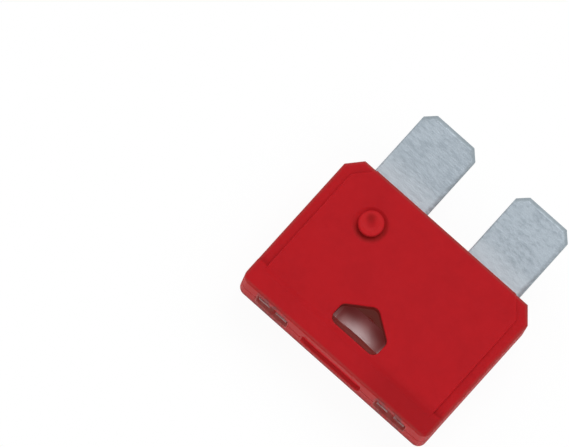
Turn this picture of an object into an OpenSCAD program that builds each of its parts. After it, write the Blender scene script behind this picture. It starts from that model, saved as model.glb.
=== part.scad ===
// Automotive blade fuse: two moulded half housings, staked to each other through a stamped fuse element.
// Millimetres. The fuse lies on its rear face: +X runs across the blades, +Y points to the head and
// +Z points out of the front face. The origin is under the middle of the whole fuse, at its lowest point.

/* [Housing] */
// Width of the housing, across the blades
body_w = 18.4; // [18:0.1:20]
// Height of the housing, from its blade-side edge to the face of its head
body_h = 13; // [12.8:0.1:14]
// Thickness of the housing over its two panels
body_t = 5.1; // [4.8:0.1:5.6]
// Height of the head, above the panels
head_h = 1.95; // [1.6:0.05:1.95]
// How far the head stands back from the panel, on each face
head_drop = 0.06; // [0.02:0.02:0.12]
// Length of the slope by which the panel runs down to the head
head_slope = 0.4; // [0.2:0.05:0.5]
// Radius of the two corners of the head
head_corner_r = 0.7; // [0.5:0.1:1.4]
// Rounding of the outer edges
edge_r = 0.3; // [0.1:0.05:0.4]
// Width of each cut corner beside the blades
cut_w = 1.05; // [0.8:0.05:1.4]
// Height of each cut corner beside the blades
cut_h = 1.2; // [0.8:0.05:1.8]
// Rounding of the points of the cut corners
cut_r = 0.2; // [0.05:0.05:0.3]
// Width of the side rails, beside the panel
rail_w = 0.9; // [0.6:0.1:1.2]
// How far the side rails stand back from the panel, on each face
rail_drop = 0.3; // [0.1:0.05:0.5]
// Height above the blade-side edge at which the panel starts to fall back
taper_h = 7.1; // [6:0.1:7.4]
// How far the panel has fallen back at the blade-side edge, on each face
taper_drop = 0.15; // [0.05:0.05:0.25]
// Rounding of the panel's edge beside the blades
panel_edge_r = 0.15; // [0.05:0.05:0.3]
// Width of the chamfer along the other edges of the panel
panel_chamfer = 0.08; // [0.02:0.02:0.1]
// Depth of the groove that shows where the two halves meet
seam_d = 0.06; // [0.02:0.02:0.1]

/* [Window] */
// Distance from the face of the head to the top edge of the window
window_drop = 2.1; // [2.1:0.05:2.4]
// Width of the window
window_w = 4.5; // [3.6:0.1:5]
// Height of the straight sides of the window, corners included
window_side_h = 1.55; // [1.2:0.05:1.8]
// Height of the whole window, to the point in which its slopes meet
window_h = 3.1; // [2.8:0.1:3.4]
// Radius of the corners of the window
window_r = 0.6; // [0.2:0.05:0.65]
// Rounding of the rim of the window
window_rim_r = 0.12; // [0.04:0.02:0.2]
// Wall between the panel and the hollow that holds the link
wall = 1.25; // [0.8:0.05:1.4]
// How far the hollow reaches past the window all round
hollow_reach = 0.4; // [0.2:0.05:0.5]

/* [Head] */
// Length of the recess in the face of the head
recess_l = 5.8; // [4:0.1:6.4]
// Width of the recess, across the thickness of the housing
recess_w = 2.5; // [1.6:0.1:3]
// Depth of the recess
recess_d = 0.35; // [0.15:0.05:0.6]
// Radius of the corners of the recess
recess_r = 0.6; // [0.2:0.1:0.7]
// Width of each test opening, across the thickness of the housing
opening_w = 2.6; // [1.6:0.1:3]
// Depth of each test opening
opening_d = 1.6; // [0.8:0.1:1.8]
// Gap between a test opening and each side of the blade end in it
opening_gap = 0.15; // [0.05:0.05:0.3]
// Radius of the corners of the test openings
opening_r = 0.3; // [0.1:0.05:0.5]
// Rounding of the rims of the recess and the test openings
head_rim_r = 0.1; // [0.04:0.02:0.14]

/* [Staking] */
// Diameter of the pins that hold the halves together
pin_d = 1.6; // [1.2:0.1:1.8]
// Height of the pins above the blade-side edge
pin_up = 3.4; // [2.5:0.05:4.5]
// Diameter of the formed head of each pin
pin_head_d = 2; // [1.9:0.1:2.4]
// How far each pin head stands out of the panel
pin_head_out = 0.3; // [0.15:0.05:0.5]
// Rounding of the rim of each pin head
pin_head_r = 0.12; // [0.04:0.02:0.14]
// Diameter of the dimple in each pin head
dimple_d = 1.3; // [0.8:0.1:1.6]
// Depth of that dimple
dimple_depth = 0.15; // [0.05:0.01:0.2]
// Diameter of the countersink around each pin head, at the panel
sink_d = 2.8; // [2.6:0.1:3.2]
// Depth of that countersink
sink_depth = 0.1; // [0.05:0.05:0.2]
// Clearance between a pin or blade and what it sits in
fit = 0.02; // [0.01:0.01:0.04]

/* [Fuse element] */
// Width of each blade
blade_w = 5.2; // [4.8:0.1:5.4]
// Thickness of the blades
blade_t = 0.65; // [0.5:0.05:0.8]
// Distance over the outer edges of the two blades
blade_span = 14.5; // [14.3:0.1:14.8]
// How far the blades stand out of the housing
blade_out = 6.65; // [6:0.05:7.5]
// Size of the cut corners of the blade tips
tip_cut = 0.76; // [0.4:0.02:1]
// Length of the bevel along the blade tips
bevel_l = 0.35; // [0.2:0.05:0.5]
// Depth of that bevel, on each face
bevel_d = 0.12; // [0.05:0.01:0.16]
// Rounding of the long edges of the blades
blade_edge_r = 0.08; // [0.02:0.02:0.12]
// Width of the blade end that reaches up into each test opening
test_end_w = 2.7; // [2:0.1:3]
// How far that end stays below the face of the head
test_end_drop = 0.15; // [0.05:0.05:0.4]
// Width of the notch in that end
notch_w = 0.6; // [0.3:0.1:0.8]
// Depth of that notch
notch_d = 0.5; // [0.2:0.1:0.7]
// Distance from the top edge of the window to the top edge of the link
link_drop = 0.8; // [0.5:0.05:0.9]
// Height of the link
link_h = 1.55; // [1:0.05:1.8]
// Thickness of the link
link_t = 0.3; // [0.15:0.05:0.4]
// How far the link bows out towards the front
link_bow = 0.4; // [0.2:0.05:0.5]

/* [Hidden] */
$fn = 64;
// Overrun of the cuts past the surface that they open
over = 0.5;
// Overrun of the cuts that round a rim, into the opening inside it
skim = 0.05;
// How much larger a rim's rounding is around a corner, so that each straight cut ends inside the corner's
lap = 0.01;
// Depth by which joined solids run into each other
bite = 0.2;
housing_red = "#b5202a";
element_grey = "#a9b5be";

// Heights over the middle plane, in which the two halves meet
panel_z = body_t / 2;
head_z = panel_z - head_drop;
rail_z = panel_z - rail_drop;
hollow_z = panel_z - wall;
blade_z = blade_t / 2;
pocket_z = blade_z + fit;
// The panel's own height where the pins come through it
pin_panel_z = panel_at(pin_up);

// Heights above the blade-side edge
step_y = body_h - head_h;
slope_end_y = step_y + head_slope + bite;
window_top = body_h - window_drop;
window_shoulder = window_top - window_side_h;
window_point = window_top - window_h;
link_top = window_top - link_drop;
test_end_top = body_h - test_end_drop;

// Distances from the long axis
half_w = body_w / 2;
blade_outer = blade_span / 2;
blade_inner = blade_outer - blade_w;
blade_mid = blade_outer - blade_w / 2;
test_end_inner = blade_outer - test_end_w;

// How fast the countersink around each pin head widens as it rises
sink_slope = (sink_d - pin_head_d) / sink_depth;
// Radius of the dimple's sphere, and of the link's bow along the middle of its metal
dimple_r = (pow(dimple_d / 2, 2) + pow(dimple_depth, 2)) / (2 * dimple_depth);
bow_r = (pow(blade_inner, 2) + pow(link_bow, 2)) / (2 * link_bow);

// The cut corner: its length, and the two ends of a line that runs inset inside the side and the cut
cut_l = norm([cut_w, cut_h]);
function cut_foot(inset, foot) = [half_w - cut_w - (inset * cut_l - cut_w * foot) / cut_h, foot];
function cut_top(inset) = [half_w - inset, cut_h + inset * (cut_l - cut_h) / cut_w];
function mirrored(points) = [for (i = [len(points) - 1 : -1 : 0]) [-points[i][0], points[i][1]]];
function both_sides(points) = concat(points, mirrored(points));
// Height of the panel's surface at a height above the blade-side edge
function panel_at(y) = panel_z - taper_drop * max(0, taper_h - y) / taper_h;
// Corners of the housing, inset by one distance at the sides and cuts, from foot up to top
function housing_corners(inset, foot, top) =
    both_sides([cut_foot(inset, foot), cut_top(inset), [half_w - inset, top]]);

// Convex outline with round corners: centres lists their circles, anticlockwise
module rounded(centres, r) {
    polygon(centres);
    for (i = [0 : len(centres) - 1]) {
        a = centres[i];
        run = centres[(i + 1) % len(centres)] - a;
        translate(a) circle(r);
        translate(a) rotate(atan2(run[1], run[0])) translate([0, -r]) square([norm(run), 2 * r]);
    }
}

// Carries a profile along the line from a to b: its x runs inwards, to the left, and its y upwards
module along(a, b, spare) {
    run = b - a;
    climb = len(run) > 2 ? run[2] : 0;
    translate(a)
        rotate([0, -atan2(climb, norm([run[0], run[1]])), atan2(run[1], run[0])])
            translate([-spare, 0, 0])
                rotate([90, 0, 90]) linear_extrude(norm(run) + 2 * spare) children();
}

// What a rounding of radius r takes off an edge at x = at and y = 0 of a solid to the right
module rounding_profile(r, at = 0, spare = over) {
    difference() {
        translate([at - spare, -r]) square([r + spare, r + over]);
        translate([at + r, -r]) circle(r);
    }
}

// What a chamfer takes off an edge at x = 0 and y = 0: width inwards and depth downwards
module chamfer_profile(width, depth) {
    foot = -depth * (width + over) / width;
    polygon([[width, 0], [width, over], [-over, over], [-over, foot]]);
}

// What rounds the rim of a convex opening with round corners, whose outline rounded() draws
module rim(centres, r, rim_r) {
    count = len(centres);
    for (i = [0 : count - 1]) {
        a = centres[i];
        ahead = centres[(i + 1) % count] - a;
        behind = a - centres[(i + count - 1) % count];
        heading = atan2(behind[1], behind[0]);
        turn = (atan2(ahead[1], ahead[0]) - heading + 720) % 360;
        side = r * [ahead[1], -ahead[0]] / norm(ahead);
        along(a + side, a + side + ahead, lap) mirror([1, 0]) rounding_profile(rim_r, 0, skim);
        translate(a) rotate(heading - 90) rotate_extrude(angle = turn) rounding_profile(rim_r + lap, r, skim);
    }
}

// --- Housing -----------------------------------------------------------------------------------------

// Outline of the housing, drawn in by the depth of the seam where inset asks
module housing_outline(inset = 0) {
    intersection() {
        rounded(both_sides([[half_w - head_corner_r, -body_h], [half_w - head_corner_r, body_h - head_corner_r]]),
            head_corner_r - inset);
        rounded(housing_corners(inset + cut_r, inset + cut_r, body_h + head_corner_r), cut_r);
    }
}

// Outline of the panel: it lies between the rails, follows the cut corners and runs into the head
module panel_outline() {
    polygon(housing_corners(rail_w, 0, slope_end_y));
}

// Slab of the housing's outline up to a height, with its upper edges rounded
module slab(top) {
    right = housing_corners(0, 0, body_h - head_corner_r);
    corner = [half_w - head_corner_r, body_h - head_corner_r];
    difference() {
        linear_extrude(top) housing_outline();
        translate([0, 0, top]) {
            along([-half_w, 0], [half_w, 0], over) rounding_profile(edge_r);
            along([half_w - head_corner_r, body_h], [head_corner_r - half_w, body_h], 0) rounding_profile(edge_r);
            for (side = [0, 1]) mirror([side, 0, 0]) {
                along(right[0], right[1], over) rounding_profile(edge_r);
                along([half_w, -over], right[2], 0) rounding_profile(edge_r);
                translate(corner) rotate_extrude(angle = 90)
                    mirror([1, 0]) rounding_profile(edge_r, -head_corner_r);
            }
        }
    }
}

// Chamfer along one side of the panel, which follows its surface down to the blade-side edge
module panel_side_chamfer() {
    sharp = housing_corners(rail_w, 0, slope_end_y);
    foot = [sharp[0][0], sharp[0][1], panel_at(0)];
    knee = [sharp[1][0], sharp[1][1], panel_at(sharp[1][1])];
    bend = [sharp[2][0], taper_h, panel_z];
    top = [sharp[2][0], slope_end_y, panel_z];
    along(foot, knee, skim) chamfer_profile(panel_chamfer, panel_chamfer);
    along(knee, bend, skim) chamfer_profile(panel_chamfer, panel_chamfer);
    along(bend, top, 0) chamfer_profile(panel_chamfer, panel_chamfer);
}

// Panel: flat above the height at which it starts to fall back towards the blades, up to its slope
module panel() {
    difference() {
        whole_panel();
        for (side = [0, 1]) mirror([side, 0, 0]) panel_side_chamfer();
    }
}

module whole_panel() {
    intersection() {
        linear_extrude(body_t) panel_outline();
        rotate([90, 0, 90]) linear_extrude(body_w, center = true) difference() {
            polygon([
                [0, 0], [slope_end_y, 0], [slope_end_y, head_z - head_drop * bite / head_slope],
                [step_y, panel_z], [taper_h, panel_z], [0, panel_z - taper_drop],
            ]);
            translate([0, panel_z - taper_drop]) rounding_profile(panel_edge_r);
        }
    }
}

module head() {
    intersection() {
        slab(head_z);
        translate([-body_w, step_y, 0]) cube([2 * body_w, body_h, body_t]);
    }
}

// Centres of the window's round corners: its point, its shoulders and its top corners
function window_centres() =
    let (
        slope = [window_w / 2, window_shoulder - window_point],
        side = slope[0] - window_r,
        point_y = window_point + window_r * norm(slope) / slope[0],
        shoulder_y = window_shoulder + window_r * (norm(slope) - slope[1]) / slope[0]
    )
    concat([[0, point_y]], both_sides([[side, shoulder_y], [side, window_top - window_r]]));

// Window through the panel into the hollow, with a rounded rim
module window() {
    translate([0, 0, hollow_z - over]) linear_extrude(wall + 2 * over) rounded(window_centres(), window_r);
    translate([0, 0, panel_z]) rim(window_centres(), window_r, window_rim_r);
}

// Hollow in which the link stands free, behind the window
module hollow() {
    translate([-window_w / 2 - hollow_reach, window_point - hollow_reach, -over])
        cube([window_w + 2 * hollow_reach, window_h + 2 * hollow_reach, hollow_z + over]);
}

// Opening into the face of the head, centred on the middle plane, with round corners and a rounded rim
module head_opening(left, right, width, depth, r) {
    reach = width / 2 - r;
    centres = [[left + r, -reach], [right - r, -reach], [right - r, reach], [left + r, reach]];
    translate([0, body_h, 0]) rotate([-90, 0, 0]) {
        translate([0, 0, -depth]) linear_extrude(depth + over) rounded(centres, r);
        rim(centres, r, head_rim_r);
    }
}

// Recess in the middle of the face of the head
module head_recess() {
    head_opening(-recess_l / 2, recess_l / 2, recess_w, recess_d, recess_r);
}

// Room for one blade, on the right
module blade_pocket() {
    translate([blade_inner - fit, -over, -over])
        cube([blade_w + 2 * fit, link_top + over + fit, pocket_z + over]);
    translate([test_end_inner - fit, 0, -over])
        cube([test_end_w + 2 * fit, body_h, pocket_z + over]);
}

// Opening over the end of the right blade, through which it is tested
module test_opening() {
    head_opening(test_end_inner - opening_gap, blade_outer + opening_gap, opening_w, opening_d, opening_r);
}

// Hole for the other half's pin, with a countersink in which the pin's head is formed
module pin_hole() {
    translate([blade_mid, pin_up, 0]) {
        translate([0, 0, -over]) cylinder(h = panel_z + 2 * over, d = pin_d + 2 * fit);
        translate([0, 0, pin_panel_z - sink_depth])
            cylinder(h = sink_depth + taper_drop, d1 = pin_head_d, d2 = sink_d + sink_slope * taper_drop);
    }
}

// Pin on the left, which runs back through its blade and the other half to its formed head
module staking_pin() {
    head_back = pin_panel_z + pin_head_out;
    translate([-blade_mid, pin_up, 0]) difference() {
        union() {
            translate([0, 0, -pin_panel_z]) cylinder(h = pin_panel_z + pocket_z + bite, d = pin_d);
            translate([0, 0, -head_back]) rotate_extrude() difference() {
                square([pin_head_d / 2, pin_head_out + sink_depth]);
                rotate(180) rounding_profile(pin_head_r, -pin_head_d / 2);
            }
        }
        translate([0, 0, -head_back - dimple_r + dimple_depth]) sphere(dimple_r, $fn = 120);
    }
}

// Groove all round the outline, half of it in each half of the housing
module seam() {
    translate([0, 0, -over]) linear_extrude(over + seam_d) difference() {
        square(4 * (body_w + body_h), center = true);
        housing_outline(seam_d);
    }
}

// One half of the housing, over the middle plane
module half_housing() {
    difference() {
        union() {
            slab(rail_z);
            head();
            panel();
        }
        seam();
        hollow();
        window();
        head_recess();
        for (side = [0, 1]) mirror([side, 0, 0]) {
            blade_pocket();
            test_opening();
        }
        pin_hole();
    }
    staking_pin();
}

// --- Fuse element ------------------------------------------------------------------------------------

// Blade on the right, with its pin hole and the notched end that reaches into the test opening
module blade_outline() {
    tip = -blade_out;
    difference() {
        polygon([
            [blade_inner + tip_cut, tip], [blade_outer - tip_cut, tip], [blade_outer, tip + tip_cut],
            [blade_outer, test_end_top], [test_end_inner, test_end_top], [test_end_inner, link_top],
            [blade_inner, link_top], [blade_inner, tip + tip_cut],
        ]);
        translate([blade_mid, pin_up]) circle(d = pin_d + 2 * fit);
        translate([blade_outer - (test_end_w + notch_w) / 2, test_end_top - notch_d]) square([notch_w, notch_d + over]);
    }
}

module blade() {
    tip = -blade_out;
    difference() {
        translate([0, 0, -blade_z]) linear_extrude(blade_t) blade_outline();
        for (face = [0, 1]) mirror([0, 0, face]) translate([0, 0, blade_z]) {
            along([blade_inner, tip], [blade_outer, tip], over) chamfer_profile(bevel_l, bevel_d);
            along([blade_outer - tip_cut, tip], [blade_outer, tip + tip_cut], over) chamfer_profile(bevel_l, bevel_d);
            along([blade_inner, tip + tip_cut], [blade_inner + tip_cut, tip], over) chamfer_profile(bevel_l, bevel_d);
            along([blade_outer, tip], [blade_outer, test_end_top], over) rounding_profile(blade_edge_r);
            along([blade_inner, window_point], [blade_inner, tip], over) rounding_profile(blade_edge_r);
        }
    }
}

// Thin link between the blades, bowed towards the front
module link() {
    reach = blade_inner + bite;
    translate([0, link_top, 0]) rotate([90, 0, 0]) linear_extrude(link_h) intersection() {
        translate([0, link_bow - bow_r]) difference() {
            circle(bow_r + link_t / 2, $fn = 180);
            circle(bow_r - link_t / 2, $fn = 180);
        }
        translate([-reach, -blade_z]) square([2 * reach, blade_z + link_bow + link_t]);
    }
}

// --- Nodes -------------------------------------------------------------------------------------------

// Moves a piece from the blade-side edge and the middle plane to where the lying fuse has it
module lying() {
    translate([0, (blade_out - body_h) / 2, pin_panel_z + pin_head_out]) children();
}

module housing_front() {
    color(housing_red) lying() half_housing();
}

module housing_rear() {
    color(housing_red) lying() rotate([0, 180, 0]) half_housing();
}

module fuse_element() {
    color(element_grey) lying() {
        for (side = [0, 1]) mirror([side, 0, 0]) blade();
        link();
    }
}

housing_front();
housing_rear();
fuse_element();
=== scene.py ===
"""Dresses the blade fuse: the finishes of its red housing and metal element, and the floor,
lamps and camera around it.

Every length in a name that ends in _mm is in millimetres, in the fuse's own frame: +X across
the two blades, +Y along the fuse towards the head of the housing, +Z out of the front face,
with the origin on the floor under the middle of the fuse. Blender itself works in metres.
"""

from __future__ import annotations

import logging
import math
import sys
from dataclasses import dataclass, field
from enum import Enum
from typing import Any, Mapping, Union

import bpy
from mathutils import Matrix, Vector


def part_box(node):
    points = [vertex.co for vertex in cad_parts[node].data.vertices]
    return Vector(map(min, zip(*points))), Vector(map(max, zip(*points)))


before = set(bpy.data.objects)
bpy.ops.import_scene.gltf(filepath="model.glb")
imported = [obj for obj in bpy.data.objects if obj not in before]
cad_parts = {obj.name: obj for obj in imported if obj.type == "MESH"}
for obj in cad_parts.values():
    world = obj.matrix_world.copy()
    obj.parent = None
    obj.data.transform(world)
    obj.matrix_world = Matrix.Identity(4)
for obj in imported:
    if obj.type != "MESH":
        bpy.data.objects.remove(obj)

log = logging.getLogger("blade_fuse")

MM = 0.001

Colour = tuple[float, float, float]
Triple = tuple[float, float, float]
Span = tuple[float, float]

BLACK: Colour = (0.0, 0.0, 0.0)
WHITE: Colour = (1.0, 1.0, 1.0)


# ---------------------------------------------------------------------------------------
# Shader maths
# ---------------------------------------------------------------------------------------


class Wire:
    """An output socket of a node, on which arithmetic adds the Math nodes that work it out."""

    def __init__(self, bench: "Bench", socket: bpy.types.NodeSocket) -> None:
        """Wraps a socket.

        Args:
            bench: the node tree that the socket belongs to.
            socket: the output socket.
        """
        self.bench = bench
        self.socket = socket

    def maths(self, operation: str, *values: "Value") -> "Wire":
        """Adds one Math node.

        Args:
            operation: Blender's name of the operation.
            values: its operands, in order.

        Returns:
            The result of the node.
        """
        return self.bench.add("ShaderNodeMath", {"operation": operation}, dict(enumerate(values)))

    def __add__(self, other: "Value") -> "Wire":
        """The sum."""
        return self.maths("ADD", self, other)

    def __radd__(self, other: "Value") -> "Wire":
        """The sum, with the number on the left."""
        return self.maths("ADD", other, self)

    def __sub__(self, other: "Value") -> "Wire":
        """The difference."""
        return self.maths("SUBTRACT", self, other)

    def __rsub__(self, other: "Value") -> "Wire":
        """The difference, with the number on the left."""
        return self.maths("SUBTRACT", other, self)

    def __mul__(self, other: "Value") -> "Wire":
        """The product."""
        return self.maths("MULTIPLY", self, other)

    def __rmul__(self, other: "Value") -> "Wire":
        """The product, with the number on the left."""
        return self.maths("MULTIPLY", other, self)

    def __truediv__(self, other: "Value") -> "Wire":
        """The quotient."""
        return self.maths("DIVIDE", self, other)

    def __rtruediv__(self, other: "Value") -> "Wire":
        """The quotient, with the number on the left."""
        return self.maths("DIVIDE", other, self)

    def __abs__(self) -> "Wire":
        """The value without its sign."""
        return self.maths("ABSOLUTE", self)

    def __pow__(self, other: "Value") -> "Wire":
        """The power."""
        return self.maths("POWER", self, other)

    def sign(self) -> "Wire":
        """-1 or 1."""
        return self.maths("SIGN", self)

    def lesser(self, other: "Value") -> "Wire":
        """The smaller of two values."""
        return self.maths("MINIMUM", self, other)

    def greater(self, other: "Value") -> "Wire":
        """The larger of two values."""
        return self.maths("MAXIMUM", self, other)

    def rise(self, start: "Value", end: "Value") -> "Wire":
        """A smooth step: 0 up to start, 1 from end on, and a smooth curve between them.

        Args:
            start: the value at which the step leaves 0.
            end: the value at which it reaches 1.

        Returns:
            The step.
        """
        return self.bench.add(
            "ShaderNodeMapRange",
            {"interpolation_type": "SMOOTHSTEP", "clamp": True},
            {"Value": self, "From Min": start, "From Max": end, "To Min": 0.0, "To Max": 1.0},
        )

    def fall(self, start: "Value", end: "Value") -> "Wire":
        """A smooth step down: 1 up to start, 0 from end on."""
        return 1.0 - self.rise(start, end)


Value = Union[Wire, float, int]


class Bench:
    """The node tree of one material or of the world, with one method that adds any node."""

    def __init__(self, owner: Union[bpy.types.Material, bpy.types.World]) -> None:
        """Empties the owner's node tree.

        Args:
            owner: a material or the world.
        """
        owner.use_nodes = True
        self.tree = owner.node_tree
        self.tree.nodes.clear()
        is_world = isinstance(owner, bpy.types.World)
        self.end = "ShaderNodeOutputWorld" if is_world else "ShaderNodeOutputMaterial"

    def add(
        self,
        kind: str,
        settings: Mapping[str, Any],
        inputs: Mapping[Union[str, int], Any],
        output: Union[str, int] = 0,
    ) -> Wire:
        """Adds a node, sets it up and joins it to what feeds it.

        Args:
            kind: Blender's name of the node's type.
            settings: the node's own properties, which are set first.
            inputs: what each input socket gets, by name or number: a number, a colour, a
                vector or a Wire.
            output: the name or number of the output that is wanted.

        Returns:
            That output of the node.
        """
        node = self.tree.nodes.new(kind)
        for name, value in settings.items():
            setattr(node, name, value)
        for key, value in inputs.items():
            if isinstance(value, Wire):
                self.tree.links.new(value.socket, node.inputs[key])
            else:
                node.inputs[key].default_value = self._fitted(node.inputs[key], value)
        return Wire(self, node.outputs[output]) if len(node.outputs) else Wire(self, None)

    @staticmethod
    def _fitted(socket: bpy.types.NodeSocket, value: Any) -> Any:
        """A value with the opacity that a colour socket also wants."""
        if socket.type == "RGBA" and len(value) == 3:
            return (*value, 1.0)
        return value

    def mixed(self, amount: Value, first: Any, second: Any) -> Wire:
        """Mixes two colours.

        Args:
            amount: 0 for the first colour, 1 for the second laid over it.
            first: a colour or a Wire that carries one.
            second: the same.

        Returns:
            The mixed colour.
        """
        return self.add(
            "ShaderNodeMix",
            {"data_type": "RGBA", "blend_type": "MIX", "clamp_factor": True},
            {0: amount, 6: first, 7: second},
            output=2,
        )

    def place_mm(
        self,
        centre_mm: Triple = (0.0, 0.0, 0.0),
        turn: Triple = (0.0, 0.0, 0.0),
        stretch: Triple = (1.0, 1.0, 1.0),
    ) -> Wire:
        """The place on the piece in millimetres.

        Args:
            centre_mm: the point that becomes the origin.
            turn: how far the pattern is turned about the three axes, in radians.
            stretch: by how much the pattern is drawn out along each axis.

        Returns:
            The vector (place - centre) / stretch, turned.
        """
        here = self.add("ShaderNodeTexCoord", {}, {}, output="Object")
        scale = tuple(1.0 / (MM * s) for s in stretch)
        shift = tuple(-c / s for c, s in zip(centre_mm, stretch))
        return self.add(
            "ShaderNodeMapping",
            {"vector_type": "POINT"},
            {"Vector": here, "Location": shift, "Rotation": turn, "Scale": scale},
        )

    def split(self, vector: Wire) -> tuple[Wire, Wire, Wire]:
        """The three parts of a vector."""
        node = self.tree.nodes.new("ShaderNodeSeparateXYZ")
        self.tree.links.new(vector.socket, node.inputs[0])
        return tuple(Wire(self, out) for out in node.outputs)

    def grain(
        self, vector: Wire, size_mm: float, detail: float = 3.0, rough: float = 0.5
    ) -> Wire:
        """Random cloudy values about 0.5.

        Args:
            vector: the place, in millimetres.
            size_mm: about how wide one cloud is.
            detail: how many finer layers of clouds are added.
            rough: how strong each finer layer is.

        Returns:
            Values from 0 to 1.
        """
        return self.add(
            "ShaderNodeTexNoise",
            {"noise_dimensions": "3D"},
            {"Vector": vector, "Scale": 1.0 / size_mm, "Detail": detail, "Roughness": rough},
        )

    def relief(self, height_mm: Wire) -> Wire:
        """The surface direction that a height in millimetres gives."""
        return self.add(
            "ShaderNodeBump", {}, {"Height": height_mm, "Distance": MM, "Strength": 1.0}
        )

    def surface(self, shader: Wire) -> None:
        """Makes a shader the surface of the material or of the world."""
        self.add(self.end, {}, {"Surface": shader})


# ---------------------------------------------------------------------------------------
# Finishes
# ---------------------------------------------------------------------------------------


def new_material(name: str, shown: Colour) -> bpy.types.Material:
    """An empty material.

    Args:
        name: its name.
        shown: the plain colour that stands for it where no nodes are read.

    Returns:
        The material.
    """
    material = bpy.data.materials.new(name)
    material.diffuse_color = (*shown, 1.0)
    return material


@dataclass(frozen=True)
class HousingShape:
    """Where the forms of the housing lie, for the patterns that follow them."""

    half_width_mm: float = 9.2
    head_face_mm: float = 9.825
    blade_side_mm: float = -3.175
    corner_cut_mm: Span = (1.05, 1.2)
    middle_plane_mm: float = 2.7718
    hollow_top_mm: float = 1.3
    hollow_reach_mm: float = 0.4
    recess_half_mm: Span = (2.9, 1.25)
    recess_floor_mm: float = 9.475
    opening_half_mm: Span = (1.5, 1.3)
    opening_mid_mm: float = 5.9
    pin_at_mm: Span = (4.65, 0.225)
    pin_radius_mm: float = 1.0
    window_half_mm: float = 2.25
    window_top_mm: float = 7.725
    window_side_mm: float = 6.175
    window_point_mm: float = 4.625

    def outline_depth(self, x: Wire, y: Wire) -> Wire:
        """How far inside the housing's outline a point lies.

        The least of the distances to the two sides, the head face, the blade side and the two
        cut corners, each of which is a straight line.

        Args:
            x: the place across the blades, in millimetres.
            y: the place along the fuse, in millimetres.

        Returns:
            The distance in millimetres.
        """
        side = self.half_width_mm - abs(x)
        foot = y - self.blade_side_mm
        cut_w, cut_h = self.corner_cut_mm
        slant = math.hypot(cut_w, cut_h)
        corner = (side * (cut_h / slant) + foot * (cut_w / slant)) - cut_w * cut_h / slant
        return side.lesser(foot).lesser(self.head_face_mm - y).lesser(corner)


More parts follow.
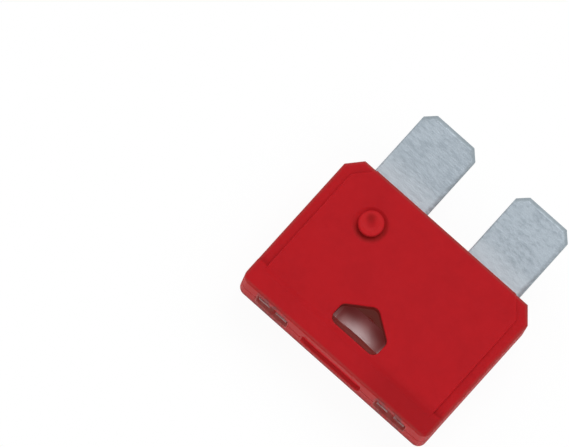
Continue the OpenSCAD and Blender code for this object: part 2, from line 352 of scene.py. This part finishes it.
@dataclass(frozen=True)
class RedNylon:
    """Red moulded nylon of the housing: satin, faintly cloudy, with a fine moulded grain."""

    colour: Colour = (0.484, 0.0092, 0.0146)
    deep: Colour = (0.418, 0.0082, 0.0132)
    worn: Colour = (0.33, 0.044, 0.040)
    end_face: Colour = (0.370, 0.0092, 0.0100)
    rear_lip: Colour = (0.235, 0.0200, 0.0190)
    # painted shade: the window's throat and the hollow behind it darker
    throat_shade: Colour = (0.150, 0.010, 0.008)
    shaded: Colour = (0.375, 0.0074, 0.0115)
    # painted light: the outer part of the recess walls, lighter where light falls into the recess
    recess_light: Colour = (0.480, 0.0190, 0.0235)
    # the walls of the test openings greyish brown in blotches
    opening_brown: Colour = (0.330, 0.080, 0.076)
    stained: Colour = (0.175, 0.0300, 0.0300)
    # painted light: the top of each pin head lighter
    pin_top_light: Colour = (0.535, 0.0150, 0.0200)
    # painted shadow round each pin head
    pin_shadow: Colour = (0.190, 0.0080, 0.0050)
    # painted glow: emission in the window's throat and hollow, more deeper in, in place of light
    # that reaches them
    wall_glow: Colour = (0.022, 0.0030, 0.0025)
    deep_glow: Colour = (0.085, 0.0220, 0.0180)
    # painted glow in the deeper part of the recess
    recess_glow: Colour = (0.034, 0.0045, 0.0050)
    gloss: float = 0.09
    roughness: float = 0.60
    roughness_spread: float = 0.16
    clear_share: float = 0.25
    clear_reach: Triple = (1.0, 0.16, 0.12)
    clear_mm: float = 0.3
    clouds_mm: float = 3.2
    flecks_mm: float = 0.55
    cloud_share: float = 0.6
    cloud_band: Span = (0.36, 0.66)
    clouding: float = 0.55
    rim_mm: Span = (0.03, 0.32)
    foot_mm: Span = (0.05, 0.35)
    foot_wear: float = 0.35
    side_saved: float = 0.45
    wear: float = 0.7
    wear_patch_mm: float = 0.9
    wear_band: Span = (-0.2, 0.6)
    dim_along_mm: Span = (7.2, 8.4)
    dim_across_mm: Span = (-4.8, -0.6)
    dim_level_mm: Span = (2.0, 2.3)
    dim_share: float = 0.85
    end_face_mm: Span = (9.70, 9.81)
    end_face_share: float = 0.85
    rear_lip_mm: Span = (0.5, 1.8)
    rear_lip_share: float = 0.8
    stain_share: float = 0.9
    stain_size_mm: float = 0.55
    stain_beside_mm: Span = (1.10, 1.65)
    stain_level_mm: Span = (2.25, 2.60)
    stain_shift_mm: float = 0.2
    blots_mm: float = 0.5
    # how much painted glow the test openings get
    opening_glow: float = 0.7
    # where the walls of the window get the deeper painted glow
    deep_wall_mm: Span = (1.55, 1.75)
    deep_wall_share: float = 0.8
    stain_along_mm: Span = (9.70, 9.80)
    stain_band: Span = (0.34, 0.62)
    stain_stretch: Triple = (1.0, 1.0, 5.0)
    recess_lit_mm: Span = (9.3, 9.4)
    opening_foot_mm: Span = (6.9, 7.6)
    throat_mm: Span = (-0.12, 0.0)
    throat_level_mm: Span = (2.30, 2.48)
    blot_band: Span = (0.35, 0.6)
    pin_shade_from: Span = (0.70, -0.71)
    pin_shade_band: Span = (-0.75, 0.75)
    pin_shade: float = 0.62
    pin_face_mm: Span = (2.2, 2.35)
    pin_cap_mm: Span = (2.62, 2.70)
    dimple_at_mm: Span = (0.26, -0.30)
    dimple_mm: Span = (0.05, 0.55)
    dimple_shade: float = 0.42
    skin_mm: float = 0.06
    soft_mm: float = 0.03
    tooth_mm: float = 0.085
    tooth_height_mm: float = 0.0045
    swell_mm: float = 1.6
    swell_height_mm: float = 0.012
    shape: HousingShape = field(default_factory=HousingShape)

    def window_depth(self, x: Wire, y: Wire) -> Wire:
        """How far inside the window's outline a point lies.

        The least of the distances to its top edge, its straight sides and the two slopes that
        meet in its point.

        Args:
            x: the place across the blades, in millimetres.
            y: the place along the fuse, in millimetres.

        Returns:
            The distance in millimetres.
        """
        s = self.shape
        rise = s.window_side_mm - s.window_point_mm
        slant = math.hypot(s.window_half_mm, rise)
        slope = ((y - s.window_point_mm) * s.window_half_mm - abs(x) * rise) / slant
        return (s.window_half_mm - abs(x)).lesser(s.window_top_mm - y).lesser(slope)

    def between(self, across: Wire, level: Wire, half_mm: Span) -> Wire:
        """1 between the walls of a sunk form in the head's face, walls included, 0 outside.

        Args:
            across: the distance from the form's middle across the blades, in millimetres.
            level: the distance from the middle plane, in millimetres.
            half_mm: half the form's length and half its width.

        Returns:
            The mask.
        """
        room = (half_mm[0] + self.skin_mm - across).lesser(half_mm[1] + self.skin_mm - level)
        return room.rise(-self.soft_mm, self.soft_mm)

    def in_recess(self, x: Wire, y: Wire, level: Wire) -> Wire:
        """1 on the outer part of the walls of the recess in the head's face, where they are
        painted lighter, 0 elsewhere.
        """
        s = self.shape
        outwards = y.rise(s.recess_floor_mm + 0.06, s.recess_floor_mm + 0.33)
        inside = self.between(abs(x), level, s.recess_half_mm)
        return inside * outwards * y.fall(s.head_face_mm - 0.03, s.head_face_mm)

    def deep_recess(self, x: Wire, y: Wire, level: Wire) -> Wire:
        """1 in the deeper part of the recess, which gets a painted glow in place of light let
        through the nylon.
        """
        s = self.shape
        deep = y.fall(s.recess_floor_mm + 0.10, s.recess_floor_mm + 0.28)
        inside = self.between(abs(x), level, s.recess_half_mm)
        return inside * y.rise(*self.recess_lit_mm) * deep

    def stain(self, bench: Bench, x: Wire, y: Wire, level: Wire) -> Wire:
        """Streaky grime on the head's face round the two test openings, which probes leave.

        Args:
            bench: the material's nodes.
            x: the place across the blades, in millimetres.
            y: the place along the fuse, in millimetres.
            level: the distance from the middle plane, in millimetres.

        Returns:
            The mask.
        """
        beside = abs(abs(x - self.stain_shift_mm) - self.shape.opening_mid_mm)
        drawn_out = bench.place_mm(stretch=self.stain_stretch)
        streaks = bench.grain(drawn_out, self.stain_size_mm, detail=2.0)
        near = beside.fall(*self.stain_beside_mm) * level.fall(*self.stain_level_mm)
        return near * y.rise(*self.stain_along_mm) * streaks.rise(*self.stain_band)

    def in_opening(self, x: Wire, y: Wire, level: Wire) -> Wire:
        """1 inside the two test openings in the head's face, 0 elsewhere."""
        s = self.shape
        inside = self.between(abs(abs(x) - s.opening_mid_mm), level, s.opening_half_mm)
        below = y.fall(s.head_face_mm - 0.02, s.head_face_mm + 0.02)
        return inside * y.rise(*self.opening_foot_mm) * below

    def round_pin(self, x: Wire, y: Wire, z: Wire) -> tuple[Wire, Wire]:
        """How much painted shadow lies round each pin head, and how much lighter its top is
        painted.

        The painted shadow in the sunk ring round each pin head is darkest towards the head of the
        fuse and the long axis. The near side of the dimple in the pin head gets faint painted
        shade as well. The front shows one pin head, at the right, and the rear shows the other,
        at the left.

        Args:
            x: the place across the blades, in millimetres.
            y: the place along the fuse, in millimetres.
            z: the height, in millimetres.

        Returns:
            The masks of the painted shadow round the pin head and of its painted lighter top.
        """
        s = self.shape
        above = z - s.middle_plane_mm
        across = x * above.sign() - s.pin_at_mm[0]
        along = y - s.pin_at_mm[1]
        away = (across * across + along * along) ** 0.5
        ring = away.rise(s.pin_radius_mm - 0.08, s.pin_radius_mm + 0.06) * away.fall(
            s.pin_radius_mm + 0.12, s.pin_radius_mm + 0.58
        )
        from_y, from_x = self.pin_shade_from
        far = (along * from_y + across * from_x) / away.greater(0.1)
        shade = ring * far.rise(*self.pin_shade_band) * self.pin_shade
        off_x, off_y = across - self.dimple_at_mm[0], along - self.dimple_at_mm[1]
        dimple = ((off_x * off_x + off_y * off_y) ** 0.5).fall(*self.dimple_mm)
        dimple = dimple * self.dimple_shade
        outside = abs(above).rise(*self.pin_face_mm)
        pin_top_light = away.fall(s.pin_radius_mm - 0.20, s.pin_radius_mm - 0.02)
        pin_top_light = pin_top_light * abs(above).rise(*self.pin_cap_mm)
        return shade.greater(dimple) * outside, pin_top_light * (1.0 - dimple * 2.0)

    def material(self, name: str, centre_mm: Triple) -> bpy.types.Material:
        """Builds the material.

        Args:
            name: its name.
            centre_mm: the point about which the random clouds are drawn, which differs from
                half to half so that the two aren't alike.

        Returns:
            The material.
        """
        material = new_material(name, self.colour)
        bench = Bench(material)
        here = bench.place_mm()
        x, y, z = bench.split(here)
        own = bench.place_mm(centre_mm)

        clouds = bench.grain(own, self.clouds_mm, detail=3.0, rough=0.55)
        flecks = bench.grain(own, self.flecks_mm, detail=4.0, rough=0.6)
        shade = clouds * self.cloud_share + flecks * (1.0 - self.cloud_share)
        shade = shade.rise(*self.cloud_band)

        s = self.shape
        depth = s.outline_depth(x, y)
        foot = (y - s.blade_side_mm).fall(*self.foot_mm) * self.foot_wear
        flat_side = depth.fall(0.00, 0.05) * self.side_saved
        patches = bench.grain(own, self.wear_patch_mm, detail=2.0).rise(*self.wear_band)
        edge = (depth.fall(*self.rim_mm) - flat_side) * patches * self.wear + foot
        level = abs(z - s.middle_plane_mm)
        inside = self.window_depth(x, y)
        reach = s.hollow_reach_mm
        hollow = inside.rise(-reach - 0.3, -reach - 0.1)
        hollow = hollow * level.fall(s.hollow_top_mm + 0.02, s.hollow_top_mm + 0.1)
        throat_shade = inside.rise(*self.throat_mm) * level.fall(*self.throat_level_mm)
        within = throat_shade.greater(hollow)
        dim = y.rise(*self.dim_along_mm) * x.fall(*self.dim_across_mm)
        dim = dim * level.rise(*self.dim_level_mm)
        end_face = y.rise(*self.end_face_mm)
        rear_lip = end_face * z.fall(*self.rear_lip_mm)
        stain = self.stain(bench, x, y, level)
        pin_shadow, pin_top_light = self.round_pin(x, y, z)
        blots = bench.grain(own, self.blots_mm, detail=2.0).rise(*self.blot_band)
        opening = self.in_opening(x, y, level) * (0.5 + 0.5 * blots)

        colour = bench.mixed(shade * self.clouding, self.colour, self.deep)
        colour = bench.mixed(dim * self.dim_share, colour, self.shaded)
        colour = bench.mixed(edge, colour, self.worn)
        colour = bench.mixed(end_face * self.end_face_share, colour, self.end_face)
        colour = bench.mixed(rear_lip * self.rear_lip_share, colour, self.rear_lip)
        # painted light on the outer part of the recess walls
        colour = bench.mixed(self.in_recess(x, y, level), colour, self.recess_light)
        colour = bench.mixed(stain * self.stain_share, colour, self.stained)
        # painted light on the pin head's top, then painted shadow round it
        colour = bench.mixed(pin_top_light, colour, self.pin_top_light)
        colour = bench.mixed(pin_shadow, colour, self.pin_shadow)
        # test openings greyish brown in blotches; further down they also get a painted glow
        colour = bench.mixed(opening, colour, self.opening_brown)
        # painted shade in the window's throat and hollow, then a painted glow there, stronger
        # deep in the hollow and in the test openings
        colour = bench.mixed(within, colour, self.throat_shade)
        glow = bench.mixed(within, BLACK, self.wall_glow)
        deep_wall = within * z.fall(*self.deep_wall_mm) * self.deep_wall_share
        deep = hollow.greater(opening * self.opening_glow).greater(deep_wall)
        glow = bench.mixed(deep, glow, self.deep_glow)
        # painted glow in the deeper part of the recess
        glow = bench.mixed(self.deep_recess(x, y, level), glow, self.recess_glow)

        tooth = bench.grain(own, self.tooth_mm, detail=2.0, rough=0.5)
        swell = bench.grain(own, self.swell_mm, detail=2.0, rough=0.4)
        height = tooth * self.tooth_height_mm + swell * self.swell_height_mm
        shader = bench.add(
            "ShaderNodeBsdfPrincipled",
            {},
            {
                "Base Color": colour,
                "Roughness": self.roughness + (flecks - 0.5) * self.roughness_spread,
                "Specular IOR Level": self.gloss,
                "Emission Color": glow,
                "Emission Strength": 1.0,
                "Subsurface Weight": self.clear_share,
                "Subsurface Radius": self.clear_reach,
                "Subsurface Scale": self.clear_mm * MM,
                "Normal": bench.relief(height),
            },
        )
        bench.surface(shader)
        return material


@dataclass(frozen=True)
class ElementShape:
    """Where the blades of the element lie, for the patterns that follow them."""

    blade_centre_mm: float = 4.65
    blade_half_mm: float = 2.6
    tip_mm: float = -9.825
    tip_cut_mm: float = 0.76
    housing_mm: float = -3.175
    bevel_mm: float = 0.35
    test_end_mm: float = 9.675


@dataclass(frozen=True)
class DullTin:
    """Dull tin plating on zinc: matt, blue-grey, clouded, with fine rolling marks."""

    colour: Colour = (0.446, 0.508, 0.562)
    dark: Colour = (0.250, 0.300, 0.345)
    # darker edges: partly duller metal, partly painted shade on the bevels and on the -X side of
    # each blade
    edge: Colour = (0.285, 0.335, 0.360)
    clean: Colour = (0.520, 0.582, 0.632)
    # painted reflection of the red housing on the blades just outside it
    red_reflection: Colour = (0.640, 0.400, 0.430)
    # painted reflection: the link inside the housing tinted warm, as the red walls would colour
    # it
    inside: Colour = (0.575, 0.497, 0.498)
    # painted glow on the link inside the housing, and more at its ends, in place of light bounced
    # round inside
    glow: Colour = (0.075, 0.0100, 0.0100)
    end_glow: Colour = (0.155, 0.0620, 0.0620)
    # painted shadow: the link darker towards the point of the window
    link_shadow: Colour = (0.170, 0.030, 0.030)
    # test ends dark brown: partly tarnished, dull metal, partly painted shade deep in the test
    # openings
    tarnish_and_shade: Colour = (0.085, 0.025, 0.023)
    metal: float = 0.82
    gloss: float = 0.4
    roughness: float = 0.50
    roughness_spread: float = 0.14
    edge_matt: float = 0.25
    test_end_matt: float = 0.45
    edge_tarnish: float = 0.6
    uneven_mm: float = 0.30
    bevel_before_mm: float = 0.25
    bevel_after_mm: float = 0.12
    side_shade_mm: Span = (0.08, 0.40)
    rim_mm: Span = (0.03, 0.14)
    clouds_mm: float = 1.7
    cloud_share: float = 0.22
    streaks_mm: float = 0.23
    streak_stretch: Triple = (3.0, 1.0, 1.0)
    streak_turn: Triple = (0.0, 0.0, 0.12)
    spots_mm: float = 0.30
    spot_stretch: Triple = (1.9, 1.0, 1.0)
    shade_band: Span = (0.38, 0.66)
    left_lighter: float = 0.06
    plain_strength: float = 0.24
    handled_strength: float = 0.38
    right_weaker: float = 0.26
    red_reflection_share: float = 0.7
    edge_share: float = 0.7
    link_shadow_mm: Span = (5.6, 6.95)
    link_shadow_share: float = 0.8
    relief_mm: float = 0.016
    grit_mm: float = 0.07
    grit_height_mm: float = 0.003
    shape: ElementShape = field(default_factory=ElementShape)

    def material(self, name: str) -> bpy.types.Material:
        """Builds the material.

        Args:
            name: its name.

        Returns:
            The material.
        """
        s = self.shape
        material = new_material(name, self.colour)
        bench = Bench(material)
        here = bench.place_mm()
        x, y, z = bench.split(here)

        across = x - x.sign() * s.blade_centre_mm
        from_tip = y - s.tip_mm
        from_side = s.blade_half_mm - abs(across)
        corner = (from_side + from_tip - s.tip_cut_mm) * math.sqrt(0.5)
        uneven = (bench.grain(here, 0.5, detail=2.0) - 0.5) * self.uneven_mm
        bevel = (from_tip.lesser(corner) + uneven).fall(
            s.bevel_mm - self.bevel_before_mm, s.bevel_mm + self.bevel_after_mm
        )
        # painted shade along the -X side of each blade, in patches
        side_shade = (across + s.blade_half_mm + uneven).fall(*self.side_shade_mm)
        side_shade = side_shade * bench.grain(here, 0.35, detail=2.0).rise(0.2, 0.6)
        rim = (from_side + uneven * 0.5).fall(*self.rim_mm)
        outside = y.fall(s.housing_mm, s.housing_mm + 0.4)
        edge = (bevel * 0.9).greater(side_shade).greater(rim * 0.5) * outside

        clouds = bench.grain(here, self.clouds_mm, detail=3.0, rough=0.6)
        rolled = bench.place_mm(turn=self.streak_turn, stretch=self.streak_stretch)
        streaks = bench.grain(rolled, self.streaks_mm, detail=3.0, rough=0.6)
        lumps = bench.place_mm(stretch=self.spot_stretch)
        spots = bench.grain(lumps, self.spots_mm, detail=3.0, rough=0.6)
        right = x.rise(-1.0, 1.0)
        marks = spots + (streaks - spots) * (0.15 + 0.65 * right)
        handled = y.fall(s.housing_mm - 2.6, s.housing_mm - 0.8)
        strength = self.plain_strength + self.handled_strength * handled
        strength = strength * (1.0 - self.right_weaker * right)
        shade = clouds * self.cloud_share + marks * (1.0 - self.cloud_share)
        shade = shade - (1.0 - right) * self.left_lighter
        shade = shade.rise(*self.shade_band) * strength

        link = y.rise(2.0, 3.0)
        test_end = y.rise(s.test_end_mm - 0.7, s.test_end_mm - 0.5)
        near = y.rise(s.housing_mm - 2.6, s.housing_mm - 1.2)
        beside = y.rise(s.housing_mm - 0.32, s.housing_mm - 0.06)
        # painted shadow on the link towards the point of the window
        link_shadow = link * y.fall(*self.link_shadow_mm) * self.link_shadow_share
        # the test ends: tarnish and painted shade, in spots
        spotted = test_end * (0.75 + 0.25 * spots.rise(0.35, 0.65))
        bare = bench.mixed(near, self.colour, self.clean)
        colour = bench.mixed(shade, bare, self.dark)
        # painted reflection of the red housing on the blades next to it
        colour = bench.mixed(beside * self.red_reflection_share, colour, self.red_reflection)
        # darker edges: duller metal and painted shade
        colour = bench.mixed(edge * self.edge_share, colour, self.edge)
        # painted reflection of the red walls on the link
        colour = bench.mixed(link, colour, self.inside)
        colour = bench.mixed(link_shadow, colour, self.link_shadow)
        colour = bench.mixed(spotted, colour, self.tarnish_and_shade)

        grit = bench.grain(here, self.grit_mm, detail=2.0)
        height = (marks - 0.5) * self.relief_mm + grit * self.grit_height_mm
        matt = edge * self.edge_matt + test_end * self.test_end_matt
        bright = self.metal * (1.0 - self.edge_tarnish * edge) * (1.0 - test_end)
        # where the link's ends get the extra painted glow, more on the +X side
        ends = link * abs(x).rise(0.5, 1.3) * abs(x).fall(1.5, 2.0) * y.rise(5.9, 6.7)
        ends = ends * (0.78 + 0.22 * x.sign())
        glow = bench.mixed(link, BLACK, self.glow)
        glow = bench.mixed(ends * y.fall(7.2, 7.4), glow, self.end_glow)
        shader = bench.add(
            "ShaderNodeBsdfPrincipled",
            {},
            {
                "Base Color": colour,
                "Emission Color": glow,
                "Emission Strength": 1.0,
                "Metallic": bright,
                "Roughness": self.roughness + matt + (marks - 0.5) * self.roughness_spread,
                "Specular IOR Level": self.gloss,
                "Normal": bench.relief(height),
            },
        )
        bench.surface(shader)
        return material


# ---------------------------------------------------------------------------------------
# The fuse
# ---------------------------------------------------------------------------------------


class Piece(Enum):
    """The pieces of the fuse, by the names of their nodes."""

    FRONT = "housing_front"
    REAR = "housing_rear"
    ELEMENT = "fuse_element"


def lay_on(piece: Piece, material: bpy.types.Material) -> bpy.types.Object:
    """Gives a piece of the fuse its material.

    Args:
        piece: which piece.
        material: what every material slot of it gets.

    Returns:
        The piece's object.
    """
    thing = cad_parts[piece.value]
    for slot in thing.material_slots:
        slot.material = material
    low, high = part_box(piece.value)
    size = [round(v / MM, 3) for v in high - low]
    log.info("%s: %s, %s mm", piece.value, material.name, size)
    return thing


@dataclass
class Housing:
    """The red housing: two alike halves, staked together by their own pins."""

    finish: RedNylon = field(default_factory=RedNylon)
    front_centre_mm: Triple = (0.0, 0.0, 0.0)
    rear_centre_mm: Triple = (31.0, 17.0, 9.0)

    def dress(self) -> None:
        """Gives each half its own clouds of the same nylon."""
        lay_on(Piece.FRONT, self.finish.material("red_nylon_front", self.front_centre_mm))
        lay_on(Piece.REAR, self.finish.material("red_nylon_rear", self.rear_centre_mm))


@dataclass
class Element:
    """The stamped metal element: two blades and the link between them."""

    finish: DullTin = field(default_factory=DullTin)

    def dress(self) -> None:
        """Gives the element its plating."""
        lay_on(Piece.ELEMENT, self.finish.material("dull_tin"))


# ---------------------------------------------------------------------------------------
# Floor, lamps and camera
# ---------------------------------------------------------------------------------------


@dataclass
class Floor:
    """A plain white floor on which the fuse lies.

    Away from the fuse it is white by itself; near the fuse it takes some of its shadow.
    """

    half_m: float = 3.0
    colour: Colour = (0.96, 0.96, 0.96)
    shadow_mm: float = 9.0
    least_white: float = 0.94
    housing_mid_mm: Span = (0.0, 3.325)
    housing_half_mm: Span = (8.8, 6.1)
    clear_of_mm: Span = (0.25, 0.60)
    # painted glow: the floor under the fuse glows faintly red, in place of light let through the
    # nylon
    let_through: Colour = (0.055, 0.0, 0.0)
    shape: HousingShape = field(default_factory=HousingShape)

    def build(self) -> bpy.types.Object:
        """Builds the floor: a flat square under the fuse's lowest point.

        Returns:
            The floor's object.
        """
        level = frame_floor()
        h = self.half_m
        corners = [(-h, -h, level), (h, -h, level), (h, h, level), (-h, h, level)]
        mesh = bpy.data.meshes.new("floor")
        mesh.from_pydata(corners, [], [(0, 1, 2, 3)])
        mesh.update()
        mesh.materials.append(self._material())
        thing = bpy.data.objects.new("floor", mesh)
        bpy.context.scene.collection.objects.link(thing)
        log.info("floor: %.1f m square at z = %.5f m", 2.0 * h, level)
        return thing

    def _material(self) -> bpy.types.Material:
        """White that takes the fuse's shadow near it and is plain white farther out."""
        material = new_material("floor_white", self.colour)
        bench = Bench(material)
        x, y, _ = bench.split(bench.place_mm())
        beside = (abs(x - self.housing_mid_mm[0]) - self.housing_half_mm[0]).greater(0.0)
        along = (abs(y - self.housing_mid_mm[1]) - self.housing_half_mm[1]).greater(0.0)
        away = (beside * beside + along * along) ** 0.5
        open_air = self.shape.outline_depth(x, y).fall(*self.clear_of_mm)
        least = self.least_white
        share = open_air * (least + (1.0 - least) * away.rise(0.0, self.shadow_mm))
        # painted red glow on the floor under the fuse
        beneath = bench.mixed(open_air, self.let_through, BLACK)
        paper = self._plain(bench, self.colour, beneath)
        white = self._plain(bench, BLACK, WHITE)
        seen = self._seen(bench)
        bench.surface(bench.add("ShaderNodeMixShader", {}, {0: share * seen, 1: paper, 2: white}))
        return material

    @staticmethod
    def _plain(bench: Bench, colour: Colour, glow: Wire | Colour) -> Wire:
        """A matt shader of one colour that also sends out some light of its own."""
        return bench.add(
            "ShaderNodeBsdfPrincipled",
            {},
            {
                "Base Color": colour,
                "Roughness": 0.9,
                "Specular IOR Level": 0.0,
                "Emission Color": glow,
                "Emission Strength": 1.0,
            },
        )

    @staticmethod
    def _seen(bench: Bench) -> Wire:
        """1 for what the camera sees, straight or by way of gloss and glass, and 0 otherwise."""
        node = bench.tree.nodes.new("ShaderNodeLightPath")
        seen = Wire(bench, node.outputs["Is Camera Ray"])
        for name in ("Is Glossy Ray", "Is Transmission Ray"):
            seen = seen.greater(Wire(bench, node.outputs[name]))
        return seen


def frame_floor() -> float:
    """The height of the fuse's lowest point, in metres."""
    return float(min(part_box(piece.value)[0][2] for piece in Piece))


@dataclass(frozen=True)
class Softbox:
    """A large square lamp that faces the fuse."""

    name: str
    towards: Triple
    distance_m: float
    side_m: float
    level: float

    def build(self) -> bpy.types.Object:
        """Builds the lamp.

        A surface that faces the lamp squarely, and has the lamp alone, shows its colour times
        the level: the lamp's power is level * pi^2 * distance^2.

        Returns:
            The lamp's object.
        """
        data = bpy.data.lights.new(self.name, "AREA")
        data.shape = "SQUARE"
        data.size = self.side_m
        data.energy = self.level * math.pi**2 * self.distance_m**2
        thing = bpy.data.objects.new(self.name, data)
        bpy.context.scene.collection.objects.link(thing)
        towards = Vector(self.towards).normalized()
        thing.location = towards * self.distance_m
        thing.rotation_euler = towards.to_track_quat("Z", "Y").to_euler()
        log.info("%s: level %.2f", self.name, self.level)
        return thing


@dataclass
class Studio:
    """Soft light from the blades' side and, weaker, from beyond the head.

    The room is brighter low down than overhead.
    """

    low: Colour = WHITE
    high: Colour = (0.25, 0.25, 0.25)
    boxes: tuple[Softbox, ...] = (
        Softbox("key_box", (0.03, -0.62, 0.78), 1.30, 1.00, 0.49),
        Softbox("fill_box", (-0.10, 0.88, 0.46), 1.60, 1.20, 0.34),
    )

    def build(self) -> None:
        """Builds the lamps and the world."""
        world = bpy.data.worlds.new("studio")
        bpy.context.scene.world = world
        bench = Bench(world)
        _, _, upwards = bench.split(bench.add("ShaderNodeTexCoord", {}, {}, output="Generated"))
        sky = bench.mixed(upwards.greater(0.0), self.low, self.high)
        bench.surface(bench.add("ShaderNodeBackground", {}, {"Color": sky, "Strength": 1.0}))
        for box in self.boxes:
            box.build()


@dataclass(frozen=True)
class Camera:
    """The camera: it looks down on the fuse as it lies, from a little beyond its head."""

    target_mm: Triple = (9.624, 4.117, 2.771)
    towards: Triple = (-0.05576, 0.18610, 0.98095)
    up: Triple = (0.66266, -0.72800, 0.17578)
    distance_mm: float = 878.5
    lens_mm: float = 739.8
    sensor_mm: float = 36.0

    def build(self) -> bpy.types.Object:
        """Builds the camera and makes it the scene's.

        Returns:
            The camera's object.
        """
        data = bpy.data.cameras.new("camera")
        data.lens = self.lens_mm
        data.sensor_width = self.sensor_mm
        data.clip_start = 0.01
        data.clip_end = 20.0
        back = Vector(self.towards).normalized()
        right = Vector(self.up).cross(back).normalized()
        up = back.cross(right)
        place = (Vector(self.target_mm) + back * self.distance_mm) * MM
        turn = Matrix((right, up, back)).transposed().to_4x4()
        thing = bpy.data.objects.new("camera", data)
        bpy.context.scene.collection.objects.link(thing)
        thing.matrix_world = Matrix.Translation(place) @ turn
        bpy.context.scene.camera = thing
        log.info("camera: lens %.1f mm at %s m", self.lens_mm, [round(v, 4) for v in place])
        return thing


def main() -> None:
    """Builds the scene in order."""
    logging.basicConfig(level=logging.INFO, format="%(name)s: %(message)s", stream=sys.stdout)
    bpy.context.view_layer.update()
    bpy.context.scene.view_settings.view_transform = "Standard"
    Housing().dress()
    Element().dress()
    Floor().build()
    Studio().build()
    Camera().build()


if __name__ == "__main__":
    main()
